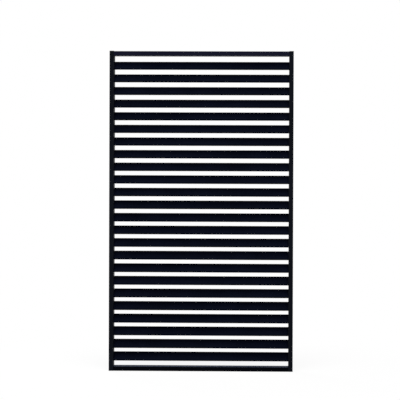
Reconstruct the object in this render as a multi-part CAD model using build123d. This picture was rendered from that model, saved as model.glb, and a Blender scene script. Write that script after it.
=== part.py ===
from build123d import *
import math
import os

# Louvred screen panel: an aluminium tube frame that holds a ladder of fixed, tilted blades.
# +Z is up, -Y is the front, and X runs along the panel. The origin is at ground level on the outer
# face of the left stile, halfway through its depth, where the panel is fastened to a post.
# All sizes are in millimetres.

# Overall size
PANEL_HEIGHT = 1800.0  # ground to the top of the stile caps
PANEL_WIDTH = 1035.0  # outer face to outer face of the stiles

# Tube of the stiles and rails
FRAME_DEPTH = 60.0  # front to back
FRAME_FACE = 25.0  # width seen from the front
FRAME_WALL = 1.5
FRAME_EDGE_RADIUS = 1.0

# Louvre blades
BLADE_COUNT = 24
BLADE_TILT = 45.0  # degrees from level, front edge low
BLADE_THICKNESS = 10.0
BLADE_WALL = 1.2
BLADE_EDGE_RADIUS = 0.5
BLADE_REACH = 6.0  # how far a blade end goes past the stile's inner wall
END_GAP = 31.0  # clear height between a rail and the blade next to it

# Slots that hold the blade ends in the inner wall of each stile
SLOT_CLEARANCE = 0.3  # between blade and slot, all round
SLOT_LAND = 4.0  # left between a slot's outermost corner and the tube's front or back wall

# Push-in caps on top of the stiles
CAP_FLANGE = 2.0
CAP_EDGE_RADIUS = 0.8
CAP_PLUG_LENGTH = 16.0
CAP_PLUG_WALL = 1.6
CAP_PLUG_CLEARANCE = 0.8  # between plug and tube
CAP_BARB_CLEARANCE = 0.1  # between barbs and tube
CAP_BARB_HEIGHT = 1.2
CAP_BARB_PITCH = 4.5
CAP_BARB_COUNT = 3

# Sizes that follow
STILE_LENGTH = PANEL_HEIGHT - CAP_FLANGE
RAIL_LENGTH = PANEL_WIDTH - 2 * FRAME_FACE
CAVITY_DEPTH = FRAME_DEPTH - 2 * FRAME_WALL
CAVITY_FACE = FRAME_FACE - 2 * FRAME_WALL
TILT_COS = math.cos(math.radians(BLADE_TILT))
TILT_SIN = math.sin(math.radians(BLADE_TILT))
# A slot is as wide as the inside of the stile leaves room for, and the blade fits in it.
SLOT_THICKNESS = BLADE_THICKNESS + 2 * SLOT_CLEARANCE
SLOT_DEPTH = CAVITY_DEPTH - 2 * SLOT_LAND
SLOT_CHORD = (SLOT_DEPTH - SLOT_THICKNESS * TILT_SIN) / TILT_COS
BLADE_CHORD = SLOT_CHORD - 2 * SLOT_CLEARANCE
BLADE_FLAT_CHORD = BLADE_CHORD - 2 * BLADE_EDGE_RADIUS
BLADE_FLAT_THICKNESS = BLADE_THICKNESS - 2 * BLADE_EDGE_RADIUS
BLADE_HEIGHT = BLADE_FLAT_CHORD * TILT_SIN + BLADE_FLAT_THICKNESS * TILT_COS + 2 * BLADE_EDGE_RADIUS
BLADE_LENGTH = RAIL_LENGTH + 2 * (FRAME_WALL + BLADE_REACH)
TOP_BLADE_Z = STILE_LENGTH - FRAME_FACE - END_GAP - BLADE_HEIGHT / 2
BOTTOM_BLADE_Z = FRAME_FACE + END_GAP + BLADE_HEIGHT / 2
BLADE_PITCH = (TOP_BLADE_Z - BOTTOM_BLADE_Z) / (BLADE_COUNT - 1)
BLADE_LEVELS = [TOP_BLADE_Z - number * BLADE_PITCH for number in range(BLADE_COUNT)]
MIRROR_PLANE = Plane.YZ.offset(PANEL_WIDTH / 2)


def frame_tube(section_plane, length):
    """A length of frame tube: the plane's x is the face width and its y the depth."""
    outside = RectangleRounded(FRAME_FACE, FRAME_DEPTH, FRAME_EDGE_RADIUS)
    inside = Rectangle(CAVITY_FACE, CAVITY_DEPTH)
    return extrude(section_plane * (outside - inside), length)


def blade_plane(x, z):
    """The tilted section plane of a blade: its x runs from the low front edge to the high back edge."""
    return Plane(origin=(x, 0, z), x_dir=(0, TILT_COS, TILT_SIN), z_dir=(1, 0, 0))


def slot_cutter(z):
    """A square-cornered prism through the left stile's inner wall, at the tilt of the blade."""
    cavity_middle = FRAME_FACE / 2
    return extrude(blade_plane(cavity_middle, z) * Rectangle(SLOT_CHORD, SLOT_THICKNESS), FRAME_FACE)


def left_stile():
    """The upright tube, open at its foot, with one tilted slot for each blade."""
    tube = frame_tube(Plane((FRAME_FACE / 2, 0, 0)), STILE_LENGTH)
    return tube - [slot_cutter(z) for z in BLADE_LEVELS]


def rail(bottom_z):
    """A tube that butts against the inner faces of both stiles."""
    section_plane = Plane(
        origin=(FRAME_FACE, 0, bottom_z + FRAME_FACE / 2), x_dir=(0, 0, -1), z_dir=(1, 0, 0)
    )
    return frame_tube(section_plane, RAIL_LENGTH)


def louvre_blade(z):
    """A flat hollow blade with a web along its middle, its ends in the slots of the stiles."""
    chamber_chord = (BLADE_CHORD - 3 * BLADE_WALL) / 2
    chamber = Rectangle(chamber_chord, BLADE_THICKNESS - 2 * BLADE_WALL)
    chamber_middle = (chamber_chord + BLADE_WALL) / 2
    section = RectangleRounded(BLADE_CHORD, BLADE_THICKNESS, BLADE_EDGE_RADIUS)
    section -= Pos(-chamber_middle, 0) * chamber
    section -= Pos(chamber_middle, 0) * chamber
    start_x = FRAME_FACE - FRAME_WALL - BLADE_REACH
    return extrude(blade_plane(start_x, z) * section, BLADE_LENGTH)


def left_stile_cap():
    """A moulded cap: a flange on the tube's end, and a hollow barbed plug inside the tube."""
    middle = Pos(FRAME_FACE / 2, 0, STILE_LENGTH)
    flange = extrude(RectangleRounded(FRAME_FACE, FRAME_DEPTH, FRAME_EDGE_RADIUS), CAP_FLANGE)
    flange = fillet(flange.faces().sort_by(Axis.Z)[-1].edges(), CAP_EDGE_RADIUS)
    plug_face = CAVITY_FACE - 2 * CAP_PLUG_CLEARANCE
    plug_depth = CAVITY_DEPTH - 2 * CAP_PLUG_CLEARANCE
    barb = Rectangle(CAVITY_FACE - 2 * CAP_BARB_CLEARANCE, CAVITY_DEPTH - 2 * CAP_BARB_CLEARANCE)
    hollow = Rectangle(plug_face - 2 * CAP_PLUG_WALL, plug_depth - 2 * CAP_PLUG_WALL)
    plug = extrude(Rectangle(plug_face, plug_depth), -CAP_PLUG_LENGTH)
    for number in range(CAP_BARB_COUNT):
        barb_top = -(number + 1) * CAP_BARB_PITCH
        plug += extrude(Pos(0, 0, barb_top) * barb, -CAP_BARB_HEIGHT)
    plug -= extrude(hollow, -CAP_PLUG_LENGTH)
    return middle * (flange + plug)


def build():
    """Every piece of the panel, by the name of its node."""
    stile = left_stile()
    cap = left_stile_cap()
    pieces = {
        "left_stile": stile,
        "right_stile": mirror(stile, about=MIRROR_PLANE),
        "top_rail": rail(STILE_LENGTH - FRAME_FACE),
        "bottom_rail": rail(0),
        "left_stile_cap": cap,
        "right_stile_cap": mirror(cap, about=MIRROR_PLANE),
    }
    for number, z in enumerate(BLADE_LEVELS, start=1):
        pieces[f"louvre_blade_{number:02d}"] = louvre_blade(z)
    return pieces


os.makedirs("parts", exist_ok=True)
for node, shape in build().items():
    export_step(shape, f"parts/{node}.step")
print(f"blade chord {BLADE_CHORD:.2f}, height {BLADE_HEIGHT:.2f}, pitch {BLADE_PITCH:.3f}")
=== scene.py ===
"""Looks of the louvred screen panel: its finishes, and the studio and camera that show it.

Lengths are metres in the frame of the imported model: X runs along the panel from the outer face of the left
stile, -Y points to the viewer and Z up from the ground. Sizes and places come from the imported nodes.
"""

import logging
import math
from dataclasses import dataclass, field
from enum import Enum
from typing import Any

import bpy
import numpy as np
from mathutils import Matrix, Vector


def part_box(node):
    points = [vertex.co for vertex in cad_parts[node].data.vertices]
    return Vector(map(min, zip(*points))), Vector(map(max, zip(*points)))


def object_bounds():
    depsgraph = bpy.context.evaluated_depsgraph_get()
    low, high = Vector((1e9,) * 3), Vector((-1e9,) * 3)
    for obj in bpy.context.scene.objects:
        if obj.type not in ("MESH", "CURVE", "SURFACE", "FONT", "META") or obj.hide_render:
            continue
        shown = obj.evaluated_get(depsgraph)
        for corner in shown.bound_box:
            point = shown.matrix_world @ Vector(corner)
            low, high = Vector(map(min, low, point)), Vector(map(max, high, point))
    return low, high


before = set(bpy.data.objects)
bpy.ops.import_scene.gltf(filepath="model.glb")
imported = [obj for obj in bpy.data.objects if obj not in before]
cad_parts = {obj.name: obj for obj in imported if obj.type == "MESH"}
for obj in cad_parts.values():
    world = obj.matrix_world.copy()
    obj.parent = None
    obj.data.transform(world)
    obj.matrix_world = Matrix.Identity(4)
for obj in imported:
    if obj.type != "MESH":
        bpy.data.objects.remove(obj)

Colour = tuple[float, float, float, float]
Triple = tuple[float, float, float]
Box = tuple[Vector, Vector]
Socket = bpy.types.NodeSocket

CAD_BOX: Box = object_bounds()
MILLIMETRE = 0.001
WHITE: Colour = (1.0, 1.0, 1.0, 1.0)
WHITE_STRENGTH = 1.0

# The colour curve of a screen is straight up to its knee, and a power with an offset above it.
SCREEN_WHITE = 255
SCREEN_KNEE = 0.04045
SCREEN_SLOPE = 12.92
SCREEN_OFFSET = 0.055
SCREEN_POWER = 2.4

# Squeeze of a pattern along a profile, which turns spots into streaks.
STREAK = 0.02

log = logging.getLogger("louvred_screen_panel")


def srgb(red: int, green: int, blue: int) -> Colour:
    """Turns a colour as seen on a screen into the linear colour that shaders use.

    Args:
        red: Red from 0 to 255.
        green: Green from 0 to 255.
        blue: Blue from 0 to 255.

    Returns:
        The linear colour, with an alpha of 1.
    """
    screen = np.array([red, green, blue]) / SCREEN_WHITE
    curved = ((screen + SCREEN_OFFSET) / (1 + SCREEN_OFFSET)) ** SCREEN_POWER
    linear = np.where(screen <= SCREEN_KNEE, screen / SCREEN_SLOPE, curved)
    return (*(float(value) for value in linear), 1.0)


class Slot(Enum):
    """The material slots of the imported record."""

    FRAME_COAT = "frame_coat"
    BLADE_COAT = "blade_coat"
    CAP_PLASTIC = "cap_plastic"


class Along(Enum):
    """The axis that a profile was drawn along, as the squeeze that makes streaks along it."""

    X = (STREAK, 1.0, 1.0)
    Z = (1.0, 1.0, STREAK)


@dataclass
class NodeWriter:
    """Adds nodes to one tree and wires them as it goes."""

    tree: bpy.types.NodeTree

    @classmethod
    def into(cls, owner: bpy.types.Material | bpy.types.World) -> "NodeWriter":
        """Starts an empty tree.

        Args:
            owner: The material or world that the tree belongs to.

        Returns:
            A writer for the tree.
        """
        owner.use_nodes = True
        owner.node_tree.nodes.clear()
        return cls(owner.node_tree)

    def add(self, kind: str, inputs: dict[str | int, Any] | None = None, **settings: Any) -> bpy.types.Node:
        """Adds one node.

        Args:
            kind: The node's type name.
            inputs: Values, or sockets to link, by the input's name or number.
            **settings: Properties of the node.

        Returns:
            The new node.
        """
        node = self.tree.nodes.new(kind)
        for name, value in settings.items():
            setattr(node, name, value)
        for key, value in (inputs or {}).items():
            if isinstance(value, Socket):
                self.tree.links.new(value, node.inputs[key])
            else:
                node.inputs[key].default_value = value
        return node

    def math(self, operation: str, *values: float | Socket, clamp: bool = False) -> Socket:
        """Adds a Math node and returns its result."""
        node = self.add("ShaderNodeMath", dict(enumerate(values)), operation=operation, use_clamp=clamp)
        return node.outputs["Value"]

    def vector(self, operation: str, *values: Triple | Socket) -> Socket:
        """Adds a Vector Math node and returns its vector."""
        node = self.add("ShaderNodeVectorMath", dict(enumerate(values)), operation=operation)
        return node.outputs["Vector"]

    def split(self, vector: Socket) -> tuple[Socket, Socket, Socket]:
        """Returns the three parts of a vector."""
        node = self.add("ShaderNodeSeparateXYZ", {"Vector": vector})
        return node.outputs["X"], node.outputs["Y"], node.outputs["Z"]

    def join(self, x: float | Socket, y: float | Socket, z: float | Socket) -> Socket:
        """Returns a vector of three parts."""
        return self.add("ShaderNodeCombineXYZ", {"X": x, "Y": y, "Z": z}).outputs["Vector"]

    def step(self, value: Socket, low: float | Socket, high: float | Socket) -> Socket:
        """Returns 0 below low, 1 above high and a smooth step between them."""
        inputs = {"Value": value, "From Min": low, "From Max": high}
        return self.add("ShaderNodeMapRange", inputs, interpolation_type="SMOOTHSTEP").outputs["Result"]

    def spread(self, value: Socket, low: float | Socket, high: float | Socket) -> Socket:
        """Returns low where a value is 0 and high where it is 1."""
        inputs = {"Value": value, "To Min": low, "To Max": high}
        return self.add("ShaderNodeMapRange", inputs).outputs["Result"]

    def mix(self, factor: Socket, first: Colour | Socket, second: Colour | Socket) -> Socket:
        """Blends two colours.

        Args:
            factor: Share of the second colour.
            first: The first colour.
            second: The second colour.

        Returns:
            The blend.
        """
        # The node has inputs of the same name for each kind of value, so the colours go by number.
        first_colour, second_colour = 6, 7
        inputs = {"Factor": factor, first_colour: first, second_colour: second}
        node = self.add("ShaderNodeMix", inputs, data_type="RGBA")
        return next(socket for socket in node.outputs if socket.type == "RGBA")

    def noise(self, position: Socket, size: float | Socket, detail: float) -> Socket:
        """Adds a noise texture.

        Args:
            position: Where the noise is read.
            size: About how large its features are, in metres.
            detail: How many finer layers it has.

        Returns:
            The noise, from 0 to 1.
        """
        scale = self.math("DIVIDE", 1.0, size)
        inputs = {"Vector": position, "Scale": scale, "Detail": detail}
        return self.add("ShaderNodeTexNoise", inputs).outputs["Fac"]

    def matt(self, colour: Colour) -> Socket:
        """Returns a matt shader."""
        return self.add("ShaderNodeBsdfDiffuse", {"Color": colour}).outputs["BSDF"]

    def glow(self, strength: float) -> Socket:
        """Returns a shader that shows white by itself."""
        return self.add("ShaderNodeEmission", {"Color": WHITE, "Strength": strength}).outputs["Emission"]

    def blend(self, factor: Socket, first: Socket, second: Socket) -> Socket:
        """Returns a blend of two shaders."""
        return self.add("ShaderNodeMixShader", {0: factor, 1: first, 2: second}).outputs["Shader"]


class EffectGroup:
    """A shader node group that is built once and placed in several materials."""

    title: str = ""
    sockets_in: dict[str, str] = {}
    sockets_out: tuple[str, ...] = ()

    def __init__(self) -> None:
        """Makes the group's tree, its sockets and its nodes."""
        self.tree = bpy.data.node_groups.new(self.title, "ShaderNodeTree")
        for name, kind in self.sockets_in.items():
            self.tree.interface.new_socket(name, in_out="INPUT", socket_type=kind)
        for name in self.sockets_out:
            self.tree.interface.new_socket(name, in_out="OUTPUT", socket_type="NodeSocketFloat")
        writer = NodeWriter(self.tree)
        entry = writer.add("NodeGroupInput")
        results = self.wire(writer, {name: entry.outputs[name] for name in self.sockets_in})
        writer.add("NodeGroupOutput", results)

    def wire(self, writer: NodeWriter, entry: dict[str, Socket]) -> dict[str, Socket]:
        """Adds the group's own nodes.

        Args:
            writer: Writes into the group's tree.
            entry: The group's inputs by name.

        Returns:
            The group's results by the name of the output.
        """
        raise NotImplementedError

    def place(self, writer: NodeWriter, inputs: dict[str, Any]) -> bpy.types.bpy_prop_collection:
        """Places the group in a material and returns its outputs."""
        return writer.add("ShaderNodeGroup", inputs, node_tree=self.tree).outputs


class PowderGrain(EffectGroup):
    """The grain of a baked or moulded surface, and the slow drift of its tone.

    Height is a fine noise of the grain's size over a swell that is a few grains wide. Tone is a cloud
    from 0 to 1, some centimetres across and drawn out along the profile, peppered by the grain.
    """

    title = "powder_grain"
    sockets_in = {
        "Position": "NodeSocketVector",
        "Stretch": "NodeSocketVector",
        "Grain Size": "NodeSocketFloat",
        "Cloud Size": "NodeSocketFloat",
    }
    sockets_out = ("Height", "Tone")
    fine_detail: float = 3.0
    swell_detail: float = 1.0
    cloud_detail: float = 3.0
    swell_ratio: float = 6.0
    swell_share: float = 0.35
    cloud_low: float = 0.32
    cloud_high: float = 0.68
    speckle_low: float = 0.36
    speckle_high: float = 0.64
    speckle_share: float = 0.55

    def wire(self, writer: NodeWriter, entry: dict[str, Socket]) -> dict[str, Socket]:
        """Adds the two scales of grain and the cloud.

        Args:
            writer: Writes into the group's tree.
            entry: The group's inputs by name.

        Returns:
            The height and the tone.
        """
        fine = writer.noise(entry["Position"], entry["Grain Size"], self.fine_detail)
        swell_size = writer.math("MULTIPLY", entry["Grain Size"], self.swell_ratio)
        swell = writer.noise(entry["Position"], swell_size, self.swell_detail)
        swell_part = writer.math("MULTIPLY", swell, self.swell_share)
        fine_part = writer.math("MULTIPLY", fine, 1 - self.swell_share)
        drawn_out = writer.vector("MULTIPLY", entry["Position"], entry["Stretch"])
        cloud = writer.noise(drawn_out, entry["Cloud Size"], self.cloud_detail)
        drift = writer.step(cloud, self.cloud_low, self.cloud_high)
        speckle = writer.step(fine, self.speckle_low, self.speckle_high)
        drift_part = writer.math("MULTIPLY", drift, 1 - self.speckle_share)
        speckle_part = writer.math("MULTIPLY", speckle, self.speckle_share)
        return {
            "Height": writer.math("ADD", fine_part, swell_part),
            "Tone": writer.math("ADD", drift_part, speckle_part),
        }


class DieLines(EffectGroup):
    """Faint lines that an extrusion die leaves along a profile.

    The position is squeezed along the profile before a noise reads it, so that each spot of noise
    becomes a long streak.
    """

    title = "die_lines"
    sockets_in = {
        "Position": "NodeSocketVector",
        "Squeeze": "NodeSocketVector",
        "Line Size": "NodeSocketFloat",
    }
    sockets_out = ("Height",)
    detail: float = 2.0

    def wire(self, writer: NodeWriter, entry: dict[str, Socket]) -> dict[str, Socket]:
        """Adds the squeezed noise."""
        squeezed = writer.vector("MULTIPLY", entry["Position"], entry["Squeeze"])
        return {"Height": writer.noise(squeezed, entry["Line Size"], self.detail)}


class EdgeWear(EffectGroup):
    """Edges of a box-shaped piece, where the coat lies thin.

    For a point on a box, each part of |position| less the half size is 0 on a face and negative
    inside it. An edge is where two parts are near 0, so the middle one of the three, turned positive,
    is the distance to the nearest edge. The band within Width of an edge is broken up by a noise.
    """

    title = "edge_wear"
    sockets_in = {
        "Position": "NodeSocketVector",
        "Half Size": "NodeSocketVector",
        "Width": "NodeSocketFloat",
        "Patch Size": "NodeSocketFloat",
        "Amount": "NodeSocketFloat",
    }
    sockets_out = ("Mask",)
    detail: float = 4.0
    patch_low: float = 0.42
    patch_high: float = 0.68

    def wire(self, writer: NodeWriter, entry: dict[str, Socket]) -> dict[str, Socket]:
        """Adds the distance to the nearest edge and the noise that breaks it up.

        Args:
            writer: Writes into the group's tree.
            entry: The group's inputs by name.

        Returns:
            The mask of thin edges.
        """
        depth = writer.vector("SUBTRACT", writer.vector("ABSOLUTE", entry["Position"]), entry["Half Size"])
        x, y, z = writer.split(depth)
        edge_along_z = writer.math("MINIMUM", x, y)
        edge_along_x = writer.math("MINIMUM", y, z)
        edge_along_y = writer.math("MINIMUM", x, z)
        nearest = writer.math("MAXIMUM", writer.math("MAXIMUM", edge_along_z, edge_along_x), edge_along_y)
        distance = writer.math("MULTIPLY", nearest, -1.0)
        band = writer.math("SUBTRACT", 1.0, writer.step(distance, 0.0, entry["Width"]))
        noise = writer.noise(entry["Position"], entry["Patch Size"], self.detail)
        patches = writer.step(noise, self.patch_low, self.patch_high)
        worn = writer.math("MULTIPLY", band, patches)
        return {"Mask": writer.math("MULTIPLY", worn, entry["Amount"], clamp=True)}


class SettledDust(EffectGroup):
    """Dust on surfaces that face up: the upward part of the normal times a mottled noise."""

    title = "settled_dust"
    sockets_in = {
        "Position": "NodeSocketVector",
        "Patch Size": "NodeSocketFloat",
        "Amount": "NodeSocketFloat",
    }
    sockets_out = ("Mask",)
    detail: float = 3.0
    slope_low: float = 0.75
    mottle_low: float = 0.5

    def wire(self, writer: NodeWriter, entry: dict[str, Socket]) -> dict[str, Socket]:
        """Adds the upward mask and the mottling.

        Args:
            writer: Writes into the group's tree.
            entry: The group's inputs by name.

        Returns:
            The mask of dust.
        """
        normal = writer.add("ShaderNodeNewGeometry").outputs["Normal"]
        _, _, rise = writer.split(normal)
        upward = writer.step(rise, self.slope_low, 1.0)
        noise = writer.noise(entry["Position"], entry["Patch Size"], self.detail)
        mottle = writer.spread(noise, self.mottle_low, 1.0)
        settled = writer.math("MULTIPLY", upward, mottle)
        return {"Mask": writer.math("MULTIPLY", settled, entry["Amount"], clamp=True)}


@dataclass(frozen=True)
class Effects:
    """The effect groups that the finishes share."""

    grain: PowderGrain = field(default_factory=PowderGrain)
    lines: DieLines = field(default_factory=DieLines)
    wear: EdgeWear = field(default_factory=EdgeWear)
    dust: SettledDust = field(default_factory=SettledDust)


@dataclass(frozen=True)
class PiecePosition:
    """Where a point lies in its own piece, measured from the piece's middle.

    Pieces that repeat share one finish: mirrored pieces fold onto the one on the positive side, and
    pieces at an even pitch wrap onto the first.

    Attributes:
        middle: Middle of the piece, or of the mirrored pair.
        half_size: Half of the piece's size along its own axes.
        offset: Middle of the piece from the middle of the pair.
        pitch: Height from one repeat to the next, or 0 for none.
        tilt: Turn of the piece's own axes about X, in radians.
    """

    middle: Triple
    half_size: Triple
    offset: Triple = (0.0, 0.0, 0.0)
    pitch: float = 0.0
    tilt: float = 0.0

    @classmethod
    def of_piece(cls, node: str) -> "PiecePosition":
        """Measures a node by itself."""
        middle, half = middle_and_half(node)
        return cls(middle=tuple(middle), half_size=tuple(half))

    @classmethod
    def of_pair(cls, low_node: str, high_node: str) -> "PiecePosition":
        """Measures two mirrored nodes.

        Args:
            low_node: The node on the negative side.
            high_node: The node on the positive side.

        Returns:
            The position for both.
        """
        low_middle, half = middle_and_half(low_node)
        high_middle, _ = middle_and_half(high_node)
        return cls(
            middle=tuple((low_middle + high_middle) / 2),
            half_size=tuple(half),
            offset=tuple((high_middle - low_middle) / 2),
        )

    def write(self, writer: NodeWriter, point: Socket) -> Socket:
        """Adds the nodes that measure the position.

        Args:
            writer: Writes into the material's tree.
            point: The point in the frame of the panel.

        Returns:
            The point's position in its piece.
        """
        local = writer.vector("SUBTRACT", point, self.middle)
        if any(self.offset):
            local = writer.vector("SUBTRACT", writer.vector("ABSOLUTE", local), self.offset)
        if self.pitch:
            x, y, z = writer.split(local)
            local = writer.join(x, y, writer.math("WRAP", z, self.pitch / 2, -self.pitch / 2))
        if self.tilt:
            turn = {"Vector": local, "Rotation": (-self.tilt, 0.0, 0.0)}
            local = writer.add("ShaderNodeMapping", turn).outputs["Vector"]
        return local


@dataclass(frozen=True)
class Finish:
    """A dark matt finish with grain, tone that drifts, thin edges and a little dust.

    Attributes:
        title: Name of the material.
        tone: The colour where the tone drifts one way.
        other_tone: The colour where it drifts the other way.
        thin_edge: The colour of edges where the finish lies thin.
        dust: The colour of settled dust.
        smooth: Roughness where the finish flowed out best.
        rough: Roughness where it is driest.
        specular: Specular level.
        grain_size: Width of a grain.
        grain_depth: Height of a grain.
        cloud_size: Width of a patch of tone.
        cloud_stretch: Squeeze that draws the patches out.
        edge_width: Width of the thin band along an edge.
        edge_patch: Length of a thin stretch of edge.
        edge_amount: Share of the thin colour at the very edge.
        dust_patch: Width of a patch of dust.
        dust_amount: Share of dust on level tops.
    """

    title: str
    tone: Colour
    other_tone: Colour
    thin_edge: Colour
    dust: Colour
    smooth: float
    rough: float
    specular: float
    grain_size: float
    grain_depth: float
    cloud_size: float
    cloud_stretch: Triple
    edge_width: float
    edge_patch: float
    edge_amount: float
    dust_patch: float
    dust_amount: float

    def relief(self, writer: NodeWriter, effects: Effects, point: Socket, grain: Socket) -> Socket:
        """Adds the fine relief.

        Args:
            writer: Writes into the material's tree.
            effects: The shared effect groups.
            point: The point in the frame of the panel.
            grain: Height of the grain from 0 to 1.

        Returns:
            The normal of the relief.
        """
        inputs = {"Height": grain, "Distance": self.grain_depth}
        return writer.add("ShaderNodeBump", inputs).outputs["Normal"]

    def material(self, effects: Effects, place: PiecePosition) -> bpy.types.Material:
        """Builds the material.

        Args:
            effects: The shared effect groups.
            place: How a point is measured in its own piece.

        Returns:
            The material.
        """
        material = bpy.data.materials.new(self.title)
        writer = NodeWriter.into(material)
        point = writer.add("ShaderNodeTexCoord").outputs["Object"]
        grain = effects.grain.place(
            writer,
            {
                "Position": point,
                "Stretch": self.cloud_stretch,
                "Grain Size": self.grain_size,
                "Cloud Size": self.cloud_size,
            },
        )
        wear = effects.wear.place(
            writer,
            {
                "Position": place.write(writer, point),
                "Half Size": place.half_size,
                "Width": self.edge_width,
                "Patch Size": self.edge_patch,
                "Amount": self.edge_amount,
            },
        )
        dust = effects.dust.place(
            writer, {"Position": point, "Patch Size": self.dust_patch, "Amount": self.dust_amount}
        )
        even = writer.mix(grain["Tone"], self.tone, self.other_tone)
        worn = writer.mix(wear["Mask"], even, self.thin_edge)
        shader = writer.add(
            "ShaderNodeBsdfPrincipled",
            {
                "Base Color": writer.mix(dust["Mask"], worn, self.dust),
                "Roughness": writer.spread(grain["Tone"], self.smooth, self.rough),
                "Specular IOR Level": self.specular,
                "Normal": self.relief(writer, effects, point, grain["Height"]),
            },
        )
        writer.add("ShaderNodeOutputMaterial", {"Surface": shader.outputs["BSDF"]})
        return material


@dataclass(frozen=True)
class PowderCoat(Finish):
    """Black powder coat with a cast of navy, baked on a drawn aluminium profile.

    Attributes:
        along: The axis that the profile was drawn along.
        line_size: Width of a die line.
        line_depth: Height of a die line.
    """

    title: str = "powder_coat"
    tone: Colour = srgb(4, 7, 19)
    other_tone: Colour = srgb(13, 17, 33)
    thin_edge: Colour = srgb(46, 48, 56)
    dust: Colour = srgb(122, 138, 168)
    smooth: float = 0.46
    rough: float = 0.56
    specular: float = 0.03
    grain_size: float = 1.0 * MILLIMETRE
    grain_depth: float = 0.06 * MILLIMETRE
    cloud_size: float = 0.07
    cloud_stretch: Triple = (0.35, 1.0, 0.35)
    edge_width: float = 1.6 * MILLIMETRE
    edge_patch: float = 0.05
    edge_amount: float = 0.26
    dust_patch: float = 0.12
    dust_amount: float = 0.16
    along: Along = Along.X
    line_size: float = 1.6 * MILLIMETRE
    line_depth: float = 0.03 * MILLIMETRE

    def relief(self, writer: NodeWriter, effects: Effects, point: Socket, grain: Socket) -> Socket:
        """Adds the die lines, then the grain of the coat over them.

        Args:
            writer: Writes into the material's tree.
            effects: The shared effect groups.
            point: The point in the frame of the panel.
            grain: Height of the grain from 0 to 1.

        Returns:
            The normal of the relief.
        """
        lines = effects.lines.place(
            writer, {"Position": point, "Squeeze": self.along.value, "Line Size": self.line_size}
        )
        drawn = writer.add("ShaderNodeBump", {"Height": lines["Height"], "Distance": self.line_depth})
        inputs = {"Height": grain, "Distance": self.grain_depth, "Normal": drawn.outputs["Normal"]}
        return writer.add("ShaderNodeBump", inputs).outputs["Normal"]


@dataclass(frozen=True)
class MouldedPlastic(Finish):
    """Matt black moulded plastic with the grain of an eroded mould."""

    title: str = "moulded_plastic"
    tone: Colour = srgb(10, 10, 11)
    other_tone: Colour = srgb(14, 14, 15)
    thin_edge: Colour = srgb(48, 48, 50)
    dust: Colour = srgb(120, 124, 132)
    smooth: float = 0.55
    rough: float = 0.7
    specular: float = 0.08
    grain_size: float = 0.35 * MILLIMETRE
    grain_depth: float = 0.03 * MILLIMETRE
    cloud_size: float = 0.02
    cloud_stretch: Triple = (1.0, 1.0, 1.0)
    edge_width: float = 0.9 * MILLIMETRE
    edge_patch: float = 0.01
    edge_amount: float = 0.2
    dust_patch: float = 0.008
    dust_amount: float = 0.08


def middle_and_half(node: str) -> tuple[Vector, Vector]:
    """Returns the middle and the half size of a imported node's box."""
    low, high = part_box(node)
    return (low + high) / 2, (high - low) / 2


def dress(nodes: list[str], material: bpy.types.Material) -> None:
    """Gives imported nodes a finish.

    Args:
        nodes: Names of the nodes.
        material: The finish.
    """
    for name in nodes:
        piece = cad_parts[name]
        piece.data.materials.clear()
        piece.data.materials.append(material)
        log.info("%s wears %s", name, material.name)


@dataclass
class TubeFrame:
    """The stiles and rails: rectangular aluminium tube with a powder coat.

    Attributes:
        stiles: The upright tubes.
        stile_coat: Their finish.
        top_rail: The level tube over the blades.
        top_coat_painted_light: Its finish, lighter than the stiles' as painted light from above.
        bottom_rail: The level tube on the ground.
        bottom_coat_painted_shade: Its finish, the blackest of the frame: painted shade, the frame's coat
            darkened for the rail's low place. Its bluer, heavier dust on top is dust and in part a painted
            reflection.
    """

    stiles: tuple[str, str] = ("left_stile", "right_stile")
    stile_coat: Finish = PowderCoat(
        title="stile_coat", tone=srgb(11, 13, 19), other_tone=srgb(22, 25, 33), along=Along.Z
    )
    top_rail: str = "top_rail"
    # Partly painted light: the navy cast is the coat's own, and the tones are made lighter than the stiles'
    # for the light that falls on the top of the frame.
    top_coat_painted_light: Finish = PowderCoat(
        title="top_rail_coat_painted_light", tone=srgb(17, 18, 37), other_tone=srgb(32, 33, 52)
    )
    bottom_rail: str = "bottom_rail"
    bottom_coat_painted_shade: Finish = PowderCoat(
        title="bottom_rail_coat_painted_shade",
        # Painted shade: these tones are the frame's coat made darker for the rail's low place, where less
        # light falls.
        tone=srgb(3, 4, 9),
        other_tone=srgb(11, 12, 18),
        # Dust, and in part a painted reflection: the bluer colour and larger share lighten and blue the
        # rail's top like a grazing sheen.
        dust=srgb(104, 126, 170),
        specular=0.01,
        dust_amount=0.24,
    )

    def dress(self, effects: Effects) -> None:
        """Coats the tubes, with die lines along each.

        Args:
            effects: The shared effect groups.
        """
        stile_position = PiecePosition.of_pair(*self.stiles)
        dress(list(self.stiles), self.stile_coat.material(effects, stile_position))
        for rail, coat in ((self.top_rail, self.top_coat_painted_light), (self.bottom_rail, self.bottom_coat_painted_shade)):
            dress([rail], coat.material(effects, PiecePosition.of_piece(rail)))


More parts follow.
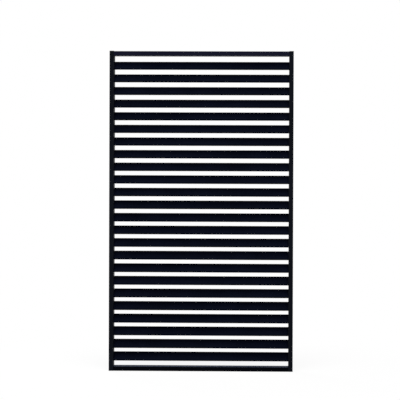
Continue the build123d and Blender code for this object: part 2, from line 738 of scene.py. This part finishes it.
@dataclass
class LouvreLadder:
    """The tilted blades: one finish that wraps from blade to blade.

    Attributes:
        prefix: Start of the blades' names.
        tilt: Turn of a blade about X, front edge low, in degrees.
        coat: The finish.
    """

    prefix: str = "louvre_blade_"
    tilt: float = 45.0
    coat: Finish = PowderCoat(title="blade_coat", specular=0.01, edge_amount=0.18)

    def names(self) -> list[str]:
        """Returns the blades' names from the top down."""
        return sorted(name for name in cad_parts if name.startswith(self.prefix))

    def half_section(self, node: str) -> tuple[float, float]:
        """Measures a blade along its chord and through its thickness.

        Args:
            node: Name of the blade.

        Returns:
            Half of the chord and half of the thickness.
        """
        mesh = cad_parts[node].data
        points = np.empty(len(mesh.vertices) * 3)
        mesh.vertices.foreach_get("co", points)
        _, y, z = (points.reshape(-1, 3) - np.array(middle_and_half(node)[0])).T
        cosine, sine = math.cos(math.radians(self.tilt)), math.sin(math.radians(self.tilt))
        return float(np.abs(y * cosine + z * sine).max()), float(np.abs(z * cosine - y * sine).max())

    def position(self) -> PiecePosition:
        """Measures points from the middle line of their own blade.

        Returns:
            The position for all blades.
        """
        names = self.names()
        top, half = middle_and_half(names[0])
        bottom, _ = middle_and_half(names[-1])
        return PiecePosition(
            middle=tuple(top),
            half_size=(half.x, *self.half_section(names[0])),
            pitch=(top.z - bottom.z) / (len(names) - 1),
            tilt=math.radians(self.tilt),
        )

    def dress(self, effects: Effects) -> None:
        """Coats the blades."""
        dress(self.names(), self.coat.material(effects, self.position()))


@dataclass
class StileCaps:
    """The moulded caps on top of the stiles.

    Attributes:
        caps: The caps.
        plastic: Their finish.
    """

    caps: tuple[str, str] = ("left_stile_cap", "right_stile_cap")
    plastic: Finish = MouldedPlastic()

    def dress(self, effects: Effects) -> None:
        """Gives the caps their moulded plastic."""
        material = self.plastic.material(effects, PiecePosition.of_pair(*self.caps))
        dress(list(self.caps), material)


@dataclass
class Softbox:
    """One rectangular studio lamp.

    Attributes:
        title: Name of the lamp.
        place: Where it stands.
        size: Width and height of its face.
        power: Its power in watts.
    """

    title: str
    place: Triple
    size: tuple[float, float]
    power: float

    def build(self, target: Vector) -> None:
        """Makes the lamp.

        Args:
            target: The point that it is turned to.
        """
        lamp = bpy.data.lights.new(self.title, "AREA")
        lamp.shape = "RECTANGLE"
        lamp.size, lamp.size_y = self.size
        lamp.energy = self.power
        holder = bpy.data.objects.new(self.title, lamp)
        holder.location = self.place
        holder.rotation_euler = (target - Vector(self.place)).to_track_quat("-Z", "Y").to_euler()
        bpy.context.scene.collection.objects.link(holder)
        log.info("%s lights the panel", self.title)


@dataclass
class Studio:
    """A pale floor, a white surround and soft lamps.

    Attributes:
        floor_reach: Half the side of the floor.
        floor_steps: Cells along a side of the floor.
        floor_colour: The floor's own colour, as light meets it.
        near_white: Plain white that the floor shows at the panel's foot, lit or not.
        seen_colour: Matt colour on top of that, which the lamps bring up to white outside the shadow.
        fade_end: Distance from the foot where the floor is plain white.
        ambient: Strength of the surround on matt surfaces.
        lamps: The lamps.
    """

    floor_reach: float = 14.0
    floor_steps: int = 8
    floor_colour: Colour = (0.7, 0.7, 0.7, 1.0)
    near_white: float = 0.88
    seen_colour: Colour = (0.17, 0.17, 0.17, 1.0)
    fade_end: float = 1.4
    ambient: float = 0.06
    lamps: tuple[Softbox, ...] = (
        Softbox(title="overhead_softbox", place=(0.5, -6.9, 12.0), size=(11.4, 11.4), power=1494.0),
        Softbox(title="back_softbox", place=(-1.6, 3.2, 1.7), size=(1.6, 1.6), power=45.0),
    )

    @staticmethod
    def shown(writer: NodeWriter) -> Socket:
        """Tells the rays that show a surface from those that only light others.

        Args:
            writer: Writes into the tree of the floor or the world.

        Returns:
            1 for rays from the camera, a reflection or a refraction, and 0 for others.
        """
        path = writer.add("ShaderNodeLightPath").outputs
        seen = writer.math("MAXIMUM", path["Is Camera Ray"], path["Is Glossy Ray"])
        return writer.math("MAXIMUM", seen, path["Is Transmission Ray"])

    def floor_material(self, middle: Vector, half: Vector) -> bpy.types.Material:
        """Makes the floor's material: matt and pale, and plain white far from the panel.

        Args:
            middle: Middle of the panel.
            half: Half of the panel's size.

        Returns:
            The material.
        """
        material = bpy.data.materials.new("pale_floor")
        writer = NodeWriter.into(material)
        point = writer.add("ShaderNodeTexCoord").outputs["Object"]
        foot = writer.vector("SUBTRACT", point, (middle.x, middle.y, 0.0))
        beyond = writer.vector("SUBTRACT", writer.vector("ABSOLUTE", foot), tuple(half))
        outside = writer.vector("MAXIMUM", beyond, (0.0, 0.0, 0.0))
        away = writer.add("ShaderNodeVectorMath", {0: outside}, operation="LENGTH").outputs["Value"]
        far = writer.step(away, 0.0, self.fade_end)
        lit_white = {0: writer.glow(self.near_white), 1: writer.matt(self.seen_colour)}
        near = writer.add("ShaderNodeAddShader", lit_white).outputs["Shader"]
        seen = writer.blend(far, near, writer.glow(WHITE_STRENGTH))
        surface = writer.blend(self.shown(writer), writer.matt(self.floor_colour), seen)
        writer.add("ShaderNodeOutputMaterial", {"Surface": surface})
        return material

    def build_floor(self, middle: Vector, half: Vector) -> None:
        """Lays the floor under the panel: x and y run evenly over a square grid, and z is 0.

        Args:
            middle: Middle of the panel.
            half: Half of the panel's size.
        """
        steps = np.linspace(-self.floor_reach, self.floor_reach, self.floor_steps + 1)
        x, y = np.meshgrid(steps + middle.x, steps + middle.y, indexing="ij")
        points = np.stack([x, y, np.zeros_like(x)], axis=-1).reshape(-1, 3)
        number = np.arange(steps.size**2).reshape(steps.size, steps.size)
        corners = (number[:-1, :-1], number[1:, :-1], number[1:, 1:], number[:-1, 1:])
        mesh = bpy.data.meshes.new("floor")
        mesh.from_pydata(points.tolist(), [], np.stack(corners, axis=-1).reshape(-1, 4).tolist())
        mesh.materials.append(self.floor_material(middle, half))
        floor = bpy.data.objects.new("floor", mesh)
        bpy.context.scene.collection.objects.link(floor)

    def build_surround(self) -> None:
        """Makes the world: white where it is seen, dimmer as light on matt surfaces."""
        world = bpy.data.worlds.new("white_surround")
        writer = NodeWriter.into(world)
        dim = writer.add("ShaderNodeBackground", {"Color": WHITE, "Strength": self.ambient})
        white = writer.add("ShaderNodeBackground", {"Color": WHITE, "Strength": WHITE_STRENGTH})
        surface = writer.blend(self.shown(writer), dim.outputs["Background"], white.outputs["Background"])
        writer.add("ShaderNodeOutputWorld", {"Surface": surface})
        bpy.context.scene.world = world

    def build(self, box: Box) -> None:
        """Builds the studio round the panel.

        Args:
            box: Lowest and highest corner of the panel.
        """
        middle, half = (box[0] + box[1]) / 2, (box[1] - box[0]) / 2
        self.build_floor(middle, half)
        self.build_surround()
        for lamp in self.lamps:
            lamp.build(middle)
        bpy.context.scene.view_settings.view_transform = "Standard"


@dataclass
class ViewCamera:
    """The camera at the photograph's viewing angle.

    Attributes:
        place: Where it stands.
        yaw: Turn to the right, in degrees.
        pitch: Turn downwards, in degrees.
        roll: Turn about its own axis, in degrees.
        lens: Focal length in millimetres on the default sensor.
        shift: Shift of the picture in its own widths.
    """

    place: Triple = (0.8989, -7.3446, 1.115)
    yaw: float = -0.926
    pitch: float = 0.304
    roll: float = 0.202
    lens: float = 117.308
    shift: tuple[float, float] = (-0.12, -0.05)

    def build(self) -> None:
        """Makes the camera and puts it to use."""
        yaw, pitch, roll = (math.radians(angle) for angle in (self.yaw, self.pitch, self.roll))
        level = Vector((math.cos(yaw), -math.sin(yaw), 0.0))
        heading = Vector((math.sin(yaw), math.cos(yaw), 0.0))
        forward = heading * math.cos(pitch) - Vector((0.0, 0.0, math.sin(pitch)))
        above = level.cross(forward)
        right = level * math.cos(roll) + above * math.sin(roll)
        up = above * math.cos(roll) - level * math.sin(roll)
        lens = bpy.data.cameras.new("view_camera")
        lens.lens = self.lens
        lens.shift_x, lens.shift_y = self.shift
        camera = bpy.data.objects.new("view_camera", lens)
        turn = Matrix((right, up, -forward)).transposed().to_4x4()
        camera.matrix_world = Matrix.Translation(self.place) @ turn
        bpy.context.scene.collection.objects.link(camera)
        bpy.context.scene.camera = camera


def main() -> None:
    """Dresses the panel, then builds the studio and the camera."""
    logging.basicConfig(level=logging.INFO, format="%(name)s: %(message)s")
    effects = Effects()
    for assembly in (TubeFrame(), LouvreLadder(), StileCaps()):
        assembly.dress(effects)
    Studio().build(CAD_BOX)
    ViewCamera().build()


if __name__ == "__main__":
    main()
